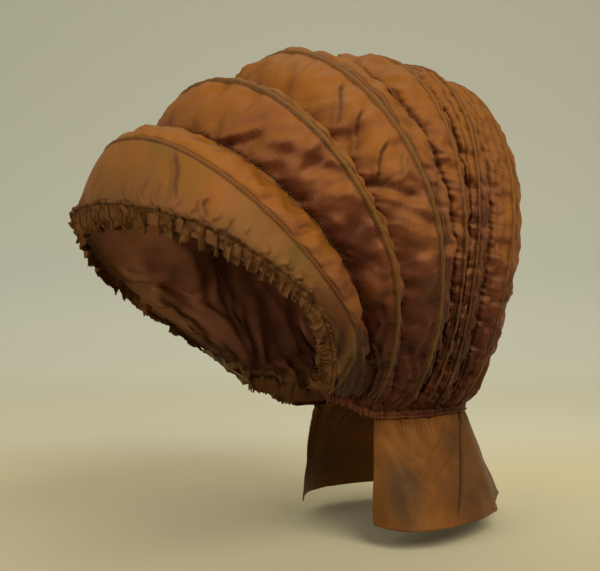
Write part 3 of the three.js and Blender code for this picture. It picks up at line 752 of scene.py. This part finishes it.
node(tree, "NodeGroupOutput", {"Geometry": finished.outputs["Geometry"]})
sewing = stitch_lines.modifiers.new("sewing", "NODES")
sewing.node_group = tree
for identifier, size in sockets.items():
    sewing[identifier] = size
whole = bpy.data.meshes.new_from_object(stitch_lines.evaluated_get(bpy.context.evaluated_depsgraph_get()))
stitch_lines.modifiers.remove(sewing)
bpy.data.objects.remove(stitch_lines)
stitches = bpy.data.objects.new("running_stitches", whole)
bpy.context.collection.objects.link(stitches)
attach(stitches, "root")

# Lining: thin plain silk, dull red brown, cut with some slack and caught to the seams.
# It hangs inside in long folds that run back to the neck. A facing of browner silk
# backs it along the face edge, and its foot is gathered into the neckband.
LINING_LINES = ["brim_edge", "seam_1", "seam_2", "seam_3", "seam_4", "seam_5",
                "back_1", "back_2", "back_3", "back_4", "back_5"]
LINING_INSET = 0.0046
LINING_STEPS = 100
LINING_ROWS = 181
LINING_COLUMNS = 361
CAUGHT_TO_SEAMS = 0.3
FRILL_EDGE = ("edge", 0.868, 0.77, -0.681, 0.506, -0.243, 0.103, 0.52, 2.24, 1.20, 0.031)
silk_lines = np.array([hood_line(LINES[name], LINING_STEPS) for name in LINING_LINES])
lining_lines = silk_lines - outward(silk_lines) * LINING_INSET
lining_coarse = finer(lining_lines, np.linspace(0, 10, 61), np.linspace(0, 2 * LINING_STEPS, 121))
held = np.zeros(lining_coarse.shape[:2])
held[::12, ::5] = CAUGHT_TO_SEAMS
held[:1] = held[-1:] = 1
held[:, :1] = held[:, -1:] = 1
slack = settle("lining_cloth", lining_coarse, held, spare=0.10, bending=10.0, gravity=0.8, cap=0.020)
into = (slack * outward(lining_coarse)).sum(-1, keepdims=True)
slack -= outward(lining_coarse) * np.maximum(into - 0.001, 0)
lining_rows, lining_cols = np.linspace(0, 60, LINING_ROWS), np.linspace(0, 120, LINING_COLUMNS)
lining_skin = finer(lining_coarse + slack, lining_rows, lining_cols)
lining_out = outward(finer(lining_coarse, lining_rows, lining_cols))
lining_mm = lining_skin * 1000
down_mm = running(lining_skin, 0)
along = running(lining_skin, 1)
foot_far = np.minimum(along, along[:, -1:] - along)
slant = down_mm * 0.85 - (foot_far - 150) * 0.30 + crumple(lining_mm, 70, 21) * 26
edge_fade = np.clip(down_mm / 30, 0, 1)
long_folds = 1 - 2 * np.abs(ripple(slant, 85, 40))
sunk = 2.4 * long_folds * edge_fade + 0.9 * crumple(lining_mm, 26, 22) * edge_fade
chance = np.random.RandomState(44)
for k in range(6):
    slope = chance.uniform(-0.9, 0.9)
    wave = chance.uniform(26, 55)
    at = (along * math.cos(slope) + down_mm * math.sin(slope)) / wave + 0.6 * crumple(lining_mm, 70, 90 + k)
    shown = np.clip(crumple(lining_mm, 60, 100 + k) * 3 - 0.2, 0, 1)
    sunk -= edge_fade * shown * wave * 0.07 * (0.5 - 2 * np.abs(at % 1 - 0.5))
gather_in = 1 - 2 * np.abs(ripple(down_mm, 8, 41))
sunk += 1.5 * gather_in * np.exp(-(foot_far / 35) ** 1.4)
facing = np.clip((30 - down_mm) / 8, 0, 1) * np.clip(2.2 - foot_far / 110, 0, 1)
facing = np.maximum(facing, np.clip((26 - foot_far) / 8, 0, 1) * np.clip((150 - down_mm) / 30, 0, 1))
sunk += facing * (1.6 + 4.0 * crumple(lining_mm, 12, 23) + 2.0 * crumple(lining_mm, 7, 24))
sunk += 3.0 * edge_fade + 0.3 + np.interp(lining_rows / 6, [0, 4.5, 6.5, 10], [0, 0, 3.8, 2.8])[:, None]
lining_skin = lining_skin - lining_out * sunk[..., None] / 1000

# At the face edge the lining turns out to meet the silk, a little further at the far side
edge = finer(np.array([hood_line(row, LINING_STEPS) for row in (LINES["brim_edge"], FRILL_EDGE)]),
             np.array([0.0, 0.14, 0.40, 0.72]), lining_cols / 120 * 2 * LINING_STEPS)
far_side = np.clip(0.5 - edge[:1, :, :1] / 0.04, 0, 1)
edge_lift = (np.array([-1.2, 0.2, 0.3, 0.3])[:, None, None] * (1 - far_side)
             + np.array([-1.2, 0.6, 2.6, 3.2])[:, None, None] * far_side)
edge_in = edge + lining_out[:1] * edge_lift / 1000
lining_skin = np.concatenate([edge_in[::-1], lining_skin[4:]])

# Each end goes down to the foot of the silk, and the last rows close the back at the nape
gathered_foot = 0.0045 + 0.0006 * gather_in[:, [0, -1]]
foot_line = finer(silk_lines, lining_rows / 6, np.array([0.0, 2 * LINING_STEPS]))
foot_line = foot_line - unit(foot_line * [1, 1, 0] - [0, -0.02, 0]) * 0.0022
foot_line[..., 2] -= gathered_foot
down_to_foot = np.array([0.25, 0.5, 0.75, 1.0])[None, :, None]
left_end, right_end = [lining_skin[:, end, None] * (1 - down_to_foot) + foot_line[:, end, None] * down_to_foot
                       for end in (0, -1)]
lining_skin = np.concatenate([left_end[:, ::-1], lining_skin, right_end], axis=1)
nape_end = lining_skin[-1:]
nape_middle = (nape_end[:, :1] + nape_end[:, -1:]) / 2
nape_rows = [nape_end * (1 - k) + nape_middle * k for k in (0.35, 0.7, 0.98)]
lining_skin = np.concatenate([lining_skin] + nape_rows)

# Thin plain-woven silk, faded: a dull red brown with a soft gloss on its folds. Its
# colour drifts in clouds of 56 mm (18 to the metre), and its weave is drawn 4.2 mm
# wide (240 to the metre), much coarser than the real one, so that it shows.
lining_silk, tree = new_material("plain_lining_silk")
place = node(tree, "ShaderNodeTexCoord").outputs["Object"]
cloud = node(tree, "ShaderNodeTexNoise", {"Vector": place}, {"Scale": 18, "Detail": 5, "Roughness": 0.6})
colour = node(tree, "ShaderNodeValToRGB", {"Fac": cloud.outputs["Fac"]})
colour.color_ramp.elements[0].position = 0.3
colour.color_ramp.elements[0].color = linear("#5c3724")
colour.color_ramp.elements[1].position = 0.7
colour.color_ramp.elements[1].color = linear("#845238")
faced = node(tree, "ShaderNodeAttribute", attribute_name="facing").outputs["Fac"]
to_facing = node(tree, "ShaderNodeMix", {0: faced, 6: colour.outputs["Color"]}, {7: linear("#644325")},
                 data_type="RGBA")
weave = node(tree, "ShaderNodeTexNoise", {"Vector": place}, {"Scale": 240, "Detail": 5, "Roughness": 0.6})
bump = node(tree, "ShaderNodeBump", {"Height": weave.outputs["Fac"]}, {"Strength": 0.3, "Distance": 0.001})
lining_shader = node(tree, "ShaderNodeBsdfPrincipled",
                     {"Base Color": to_facing.outputs[2], "Normal": bump.outputs["Normal"]},
                     {"Roughness": 0.42, "Specular Tint": linear("#e09878")})
node(tree, "ShaderNodeOutputMaterial", {"Surface": lining_shader.outputs["BSDF"]})

lining = grid_piece("hood_lining", lining_skin, flip=True)
lining.data.materials.append(lining_silk)
facing = np.concatenate([np.ones((4, facing.shape[1])), facing[4:]])
facing = np.pad(facing, ((0, 3), (4, 4)), mode="edge")
point_values(lining, "facing", facing)
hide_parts("lining")
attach(lining, "root")

# Face frill: a strip of the same silk, pinked along both edges, pleated across the top
# of the opening and finely crinkled down its sides. It is stitched on just inside the
# edge of the brim, with a narrow heading that stands up above the stitches.
FRILL_COLUMNS = 1900
FRILL_ACROSS = 16
STITCHED_AT = 0.16
FRILL_STEPS = 300
FRILL_THICKNESS = 0.0004
HEADING_MM = 5.0
PINK_MM = 3.2
HEADING_PINK_MM = 3.0
brim = hood_line(LINES["brim_edge"], FRILL_STEPS)
free = hood_line(FRILL_EDGE, FRILL_STEPS)
length_mm = np.linalg.norm(np.diff(brim, axis=0), axis=1).sum() * 1000
even = np.linspace(0, 1, FRILL_COLUMNS)
run_mm = even * length_mm
pleat = np.interp(even, [0, 0.10, 0.28, 0.36, 0.64, 0.78, 1], [7, 7, 8, 15, 17, 21, 18])
pleat *= 1 + 0.38 * ripple(run_mm, 34, 50)
phase = np.concatenate([[0], np.cumsum(length_mm / FRILL_COLUMNS / pleat[:-1])])
number = phase.astype(int)
hump = (1 - np.cos(2 * math.pi * phase)) / 2
chance = np.random.RandomState(9).uniform(-1, 1, (5, 400))
loose = np.clip(pleat / 12, 0.5, 1.3)
down = unit(free - brim)
far_length = np.interp(even, [0, 0.6, 0.72, 1], [1, 1, 1.5, 1.5])
far_calm = np.interp(even, [0, 0.62, 0.72, 1], [1, 1, 0.4, 0.4])
points_down = np.abs(((run_mm / PINK_MM) % 1) * 2 - 1)
points_up = np.abs(((run_mm / HEADING_PINK_MM) % 1) * 2 - 1)

# Each row of the frill from its heading to its free edge. The points are shifted along
# the edge so that the pleats lie over each other, and no two pleats are alike.
rows = []
lifts = []
for t in np.linspace(0, 1, FRILL_ACROSS):
    hang = (t - STITCHED_AT) / (1 - STITCHED_AT)
    fall = max(hang, 0)
    stand = max(-hang, 0) * 4
    overlap = np.interp(even, [0, 0.62, 0.70, 1], [1.5, 1.5, 0.7, 0.6]) - 0.3 * t
    shift = -overlap * pleat / (2 * math.pi) * np.sin(2 * math.pi * phase)
    shift += (chance[0][number] * 6.0 * fall + chance[4][number] * 2 * stand) * hump * loose
    at = np.clip(run_mm + shift, 0, length_mm) / length_mm * 2 * FRILL_STEPS
    edge_line, free_line, down_line = [finer(np.stack([line, line]), np.array([0.0]), at)[0]
                                       for line in (brim, free, down)]
    length = fall * (1 + 0.20 * chance[1][number] * hump) * far_length
    pinked = 1.4 * points_down + 1.5 * ripple(run_mm, 17, 53)
    extra = np.clip(hang * 3 - 2, 0, 1) * pinked + 1.5 * chance[1][number] * hump * fall * loose
    extra -= min(stand, 1) * (HEADING_MM + 1.2 * points_up + 1.5 * chance[2][number] * hump)
    rows.append(edge_line + (free_line - edge_line) * length[:, None]
                + unit(down_line) * extra[:, None] / 1000)
    wave = (0.8 + 3.2 * fall + 1.2 * stand) * loose * np.cos(2 * math.pi * phase) * far_calm
    wave += hump * chance[3][number] * (2.8 * fall + 1.5 * stand) * loose
    lifts.append(wave + 3.2 - 1.4 * fall + 1.4 * stand)
frill_base = np.array(rows)
lift = np.array(lifts)
plain = np.array([finer(np.stack([brim, free]), np.array([t]), even * 2 * FRILL_STEPS)[0]
                  for t in np.linspace(0, 1, FRILL_ACROSS)])
frill_mm = frill_base * 1000
lift += ((3.4 * crumple(frill_mm, 7.5, 52) + 1.6 * crumple(frill_mm, 3.2, 54))
         * np.interp(even, [0, 0.62, 0.72, 1], [1, 1, 0.5, 0.5]))
frill_skin = frill_base - outward(plain) * lift[..., None] / 1000
# Painted shade: the frill is darkened where it lies low between its pleats and crinkles, and its stitched row
# is darkened too
frill_painted_shade = np.clip((3.2 - lift) / 5.5, 0, 1) * 0.85
frill_painted_shade[int(STITCHED_AT * FRILL_ACROSS)] = 0.9

# The same silk taffeta, cut with a pinking iron and crushed by wear: less gloss than
# the panels, mottled in clouds of 17 mm (60 to the metre), with a weave drawn 2.4 mm
# wide (420 to the metre), much coarser than the real one, so that it shows.
frill_silk, tree = new_material("pinked_frill_silk")
place = node(tree, "ShaderNodeTexCoord").outputs["Object"]
cloud = node(tree, "ShaderNodeTexNoise", {"Vector": place}, {"Scale": 60, "Detail": 5, "Roughness": 0.65})
colour = node(tree, "ShaderNodeValToRGB", {"Fac": cloud.outputs["Fac"]})
colour.color_ramp.elements[0].position = 0.32
colour.color_ramp.elements[0].color = linear("#3c220f")
colour.color_ramp.elements[1].position = 0.72
colour.color_ramp.elements[1].color = linear("#6c451f")
shade = node(tree, "ShaderNodeAttribute", attribute_name="shade").outputs["Fac"]
# The shade value paints shade, near black, between the pleats
to_dark = node(tree, "ShaderNodeMix", {0: shade, 6: colour.outputs["Color"]}, {7: linear("#190c06")},
               data_type="RGBA")
weave = node(tree, "ShaderNodeTexNoise", {"Vector": place}, {"Scale": 420, "Detail": 4, "Roughness": 0.7})
bump = node(tree, "ShaderNodeBump", {"Height": weave.outputs["Fac"]}, {"Strength": 0.6, "Distance": 0.0012})
frill_shader = node(tree, "ShaderNodeBsdfPrincipled",
                    {"Base Color": to_dark.outputs[2], "Normal": bump.outputs["Normal"]},
                    {"Roughness": 0.6, "Specular Tint": linear("#e0a870")})
node(tree, "ShaderNodeOutputMaterial", {"Surface": frill_shader.outputs["BSDF"]})

frill = grid_piece("pleated_frill", frill_skin)
frill.data.materials.append(frill_silk)
point_values(frill, "shade", frill_painted_shade)
thick = frill.modifiers.new("cloth thickness", "SOLIDIFY")
thick.thickness = FRILL_THICKNESS
thick.offset = 0
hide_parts("face_frill")
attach(frill, "root")

# Neckband: the gathered silk is stitched down to a narrow binding of the same silk that
# runs round the neck opening, with a fine cord in its lower edge. In front of the
# curtain it has no cord, and its raw lower edge is left ragged.
BAND_COLUMNS = 900
BAND_ROWS = 12
BAND_TOP = 0.0018
BAND_HEIGHT = 0.0106
BAND_THICKNESS = 0.0012
feet = np.array([hood_line(row, 4)[0] for row in LINES.values()])
nape = np.array([[0, HOOD_DEPTH * 0.2685, HOOD_HEIGHT * 0.014]])
neck_line = np.concatenate([feet, nape, (feet * [-1, 1, 1])[::-1]])
band_line = evenly(neck_line, BAND_COLUMNS)
for _ in range(30):
    band_line[1:-1] = (band_line[:-2] + 2 * band_line[1:-1] + band_line[2:]) / 4
ahead = unit(np.gradient(band_line, axis=0) * [1, 1, 0])
band_side = np.stack([ahead[:, 1], -ahead[:, 0], 0 * ahead[:, 0]], axis=1)
band_mm = np.concatenate([[0], np.cumsum(np.linalg.norm(np.diff(band_line, axis=0), axis=1))]) * 1000
in_front = np.clip((-0.030 - band_line[:, 1]) / 0.006, 0, 1)
gather = 1 - 2 * np.abs(0.7 * ripple(band_mm, 6.5, 60) + 0.3 * ripple(band_mm, 3.1, 61))
gather = np.clip(gather, -1, 1)
rows = []
for t in np.linspace(0, 1, BAND_ROWS):
    drop = BAND_TOP - BAND_HEIGHT * t
    ragged = in_front * t * (1.6 * ripple(band_mm, 5, 62) + 0.8 * ripple(band_mm, 2.1, 63))
    cord = 1.2 * hill(t - 0.90, 0.07) - hill(t - 0.74, 0.06)
    puff = 1.2 + gather * (1.3 - 0.7 * t * (1 - in_front)) + (1 - in_front) * cord
    rows.append(band_line + band_side * puff[:, None] / 1000
                + np.stack([0 * puff, 0 * puff, drop + ragged / 1000], axis=1))
band_skin = np.array(rows)
band = grid_piece("gathered_neckband", band_skin)
band.data.materials.append(silk)
band_shape = band_skin.shape[:2]
far_front = in_front * (band_line[:, 0] < 0)
# Painted light and shade: the ridges of the gathers are lighter and their hollows darker, fading towards the
# lower edge; the front of the band on the far side is given a lighter, olive colour
point_values(band, "shot_tone_and_light", np.broadcast_to(0.16 + 0.10 * gather + 0.30 * far_front, band_shape))
band_painted_shade = np.clip(0.3 - gather, 0, 1)[None] * np.linspace(1, 0.5, BAND_ROWS)[:, None] * 0.85
point_values(band, "shade", band_painted_shade)
point_values(band, "olive", np.broadcast_to(0.7 * far_front, band_shape))
cloth = np.zeros(band_skin.shape)
cloth[..., 0] = band_mm
point_values(band, "cloth", cloth, "FLOAT_VECTOR")
thick = band.modifiers.new("cloth thickness", "SOLIDIFY")
thick.thickness = BAND_THICKNESS
thick.offset = -1
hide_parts("neckband")
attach(band, "root")

# Neck curtain: one straight piece of the same silk, about 100 mm long, sewn to the
# neckband at its top and hemmed below. It flares to the back, where it is fullest, and
# has one pressed tuck at its left side and a few soft folds.
CURTAIN_LENGTH = 0.101
CURTAIN_THICKNESS = 0.0007
CURTAIN_TOP_UNDER_BAND = 0.0088
LEFT_EDGE = -0.082 * HOOD_DEPTH
RIGHT_EDGE = -0.012 * HOOD_DEPTH
CURTAIN_COLUMNS = 481
CURTAIN_ROWS = 61

# Its hem from left to right, in half neck widths and in depths of the hood
HEM = [(1.00, -0.089), (1.37, -0.088), (1.68, -0.060), (1.84, 0.015), (1.80, 0.095), (1.72, 0.165),
       (1.58, 0.220), (1.44, 0.262), (1.08, 0.318), (0.80, 0.375), (0.54, 0.426), (0.27, 0.440),
       (0.00, 0.430), (-0.27, 0.440), (-0.54, 0.424), (-0.84, 0.380), (-1.18, 0.320), (-1.46, 0.260),
       (-1.60, 0.190), (-1.66, 0.115), (-1.58, 0.055), (-1.38, 0.005), (-1.15, -0.030), (-1.00, -0.053)]

# The tuck runs through these places, each a share down the curtain and a share along it.
# A soft fold runs from one place to another, each a share along and a share down, and
# has half its width and its height in millimetres.
PRESSED_TUCK = [(0, 0.333), (0.125, 0.298), (0.25, 0.273), (0.5, 0.230), (0.75, 0.195), (0.925, 0.178),
                (1, 0.170)]
SOFT_FOLDS = [(0.25, 0.04, 0.12, 0.38, 3.0, 2.2), (0.235, 0.28, 0.13, 0.54, 3.6, 1.9),
              (0.08, 0.04, 0.17, 0.11, 2.4, 1.6), (0.02, 0.10, 0.12, 0.66, 8.0, -1.8),
              (0.62, 0.05, 0.70, 0.40, 4.0, 1.4), (0.45, 0.05, 0.42, 0.5, 4.0, 1.5),
              (0.83, 0.05, 0.90, 0.5, 4.0, 1.5), (0.52, 0.4, 0.55, 0.95, 5.0, 1.5)]
keep = np.where(band_line[:, 0] > 0, band_line[:, 1] > LEFT_EDGE, band_line[:, 1] > RIGHT_EDGE)
curtain_top = evenly(band_line[keep], CURTAIN_COLUMNS) - [0, 0, CURTAIN_TOP_UNDER_BAND]
hem_points = np.array([(x * NECK_WIDTH / 2, y * HOOD_DEPTH, -CURTAIN_LENGTH) for x, y in HEM])
hem_fine = finer(hem_points[None].repeat(2, 0), np.array([0.0]), np.linspace(0, len(HEM) - 1, 1200))[0]
curtain_hem = evenly(hem_fine, CURTAIN_COLUMNS)
t = np.linspace(0, 1, CURTAIN_ROWS)[:, None, None]
flare = t ** 0.85
curtain = np.concatenate([curtain_top[None, :, :2] * (1 - flare) + curtain_hem[None, :, :2] * flare,
                          curtain_top[None, :, 2:] * (1 - t) + curtain_hem[None, :, 2:] * t], axis=2)
curtain_out = outward(curtain)
curtain_mm = running(curtain, 1)
t = t[..., 0]
points_mm = curtain * 1000
sway = 1.5 * crumple(points_mm, 38, 70) + 0.7 * crumple(points_mm, 15, 71) + 0.25 * crumple(points_mm, 6, 72)
sway *= np.clip(t * 4, 0.15, 1)
sway += 1.2 * (1 - 2 * np.abs(ripple(curtain_mm, 10, 73))) * np.exp(-(t / 0.10) ** 1.3)
tuck_mm = curtain_mm - curtain_mm[:, -1:] * np.interp(t, *zip(*PRESSED_TUCK))
tuck_on = np.clip((0.93 - t) / 0.08, 0, 1)
sway += (1.8 * hill(tuck_mm - 2.0, 2.2) - 2.4 * hill(tuck_mm + 1.0, 1.4)) * tuck_on
# Painted shadow: a dark line in the groove beside the pressed tuck
curtain_painted_shadow = 1.3 * hill(tuck_mm + 0.6, 1.6) * tuck_on
for u0, t0, u1, t1, half, tall in SOFT_FOLDS:
    at = np.clip((t - t0) / (t1 - t0), 0, 1)
    off = curtain_mm - curtain_mm[:, -1:] * (u0 + (u1 - u0) * at)
    fade = np.exp(-((t - (t0 + t1) / 2) / (abs(t1 - t0) * 0.55)) ** 4)
    sway += tall * (hill(off, half) - 0.5 * hill(off - 1.6 * half, half)) * fade
sway -= 0.25 * hill(t - 0.955, 0.006)
curtain = curtain + curtain_out * sway[..., None] / 1000
# Darker greyish patches: the largest low down near its left edge, and smaller ones here and there
curtain_grey_patches = hill(curtain_mm - 12 - 22 * t, 17) * hill(t - 0.62, 0.28) * 1.15
curtain_grey_patches = curtain_grey_patches * (0.8 + 0.3 * crumple(points_mm, 16, 75))
curtain_grey_patches += 0.35 * np.clip(crumple(points_mm, 34, 76), 0, 1)

# The same silk taffeta, flatter: brown in clouds of 62 mm (16 to the metre), with dull,
# darker greyish patches, and a weave drawn 3.8 mm wide (260 to the metre), much coarser
# than the real one, so that it shows.
curtain_silk, tree = new_material("curtain_silk_taffeta")
place = node(tree, "ShaderNodeTexCoord").outputs["Object"]
shade = node(tree, "ShaderNodeAttribute", attribute_name="shade").outputs["Fac"]
cloud = node(tree, "ShaderNodeTexNoise", {"Vector": place}, {"Scale": 16, "Detail": 6, "Roughness": 0.62})
colour = node(tree, "ShaderNodeValToRGB", {"Fac": cloud.outputs["Fac"]})
colour.color_ramp.elements[0].position = 0.28
colour.color_ramp.elements[0].color = linear("#4a2c12")
colour.color_ramp.elements[1].position = 0.75
colour.color_ramp.elements[1].color = linear("#784819")
grey_patch = node(tree, "ShaderNodeAttribute", attribute_name="grey_patch").outputs["Fac"]
to_grey_patch = node(tree, "ShaderNodeMix", {0: grey_patch, 6: colour.outputs["Color"]}, {7: linear("#382818")},
               data_type="RGBA")
to_dark = node(tree, "ShaderNodeMix", {0: shade, 6: to_grey_patch.outputs[2]}, {7: linear("#1c0e09")},
               data_type="RGBA")
weave = node(tree, "ShaderNodeTexNoise", {"Vector": place}, {"Scale": 260, "Detail": 5, "Roughness": 0.6})
bump = node(tree, "ShaderNodeBump", {"Height": weave.outputs["Fac"]}, {"Strength": 0.3, "Distance": 0.001})
curtain_shader = node(tree, "ShaderNodeBsdfPrincipled",
                      {"Base Color": to_dark.outputs[2], "Normal": bump.outputs["Normal"]},
                      {"Roughness": 0.5, "Specular IOR Level": 0.35, "Specular Tint": linear("#e0a870")})
node(tree, "ShaderNodeOutputMaterial", {"Surface": curtain_shader.outputs["BSDF"]})

curtain_piece = grid_piece("silk_neck_curtain", curtain)
curtain_piece.data.materials.append(curtain_silk)
point_values(curtain_piece, "shade", curtain_painted_shadow * 0.8)
point_values(curtain_piece, "grey_patch", np.clip(curtain_grey_patches, 0, 1))
thick = curtain_piece.modifiers.new("cloth thickness", "SOLIDIFY")
thick.thickness = CURTAIN_THICKNESS
thick.offset = 0
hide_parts("neck_curtain")
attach(curtain_piece, "root")

# Canes: six hoops of split rattan, 4 mm thick, bent while wet and slid into the casings
# of the silk, where they stay hidden. The rods of the CAD are used as they are, and
# only their finish is made here.
CANE_COUNT = 6

# Split rattan, peeled smooth: pale straw with a satin gloss and streaks 3.3 mm long
# (300 to the metre)
rattan, tree = new_material("split_rattan_cane")
place = node(tree, "ShaderNodeTexCoord").outputs["Object"]
fibre = node(tree, "ShaderNodeTexNoise", {"Vector": place}, {"Scale": 300, "Detail": 4})
colour = node(tree, "ShaderNodeValToRGB", {"Fac": fibre.outputs["Fac"]})
colour.color_ramp.elements[0].color = linear("#a58a58")
colour.color_ramp.elements[1].color = linear("#cdb686")
cane_shader = node(tree, "ShaderNodeBsdfPrincipled", {"Base Color": colour.outputs["Color"]},
                   {"Roughness": 0.55})
node(tree, "ShaderNodeOutputMaterial", {"Surface": cane_shader.outputs["BSDF"]})
for number in range(1, CANE_COUNT + 1):
    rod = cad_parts["cane_%d" % number]
    rod.data.materials.clear()
    rod.data.materials.append(rattan)
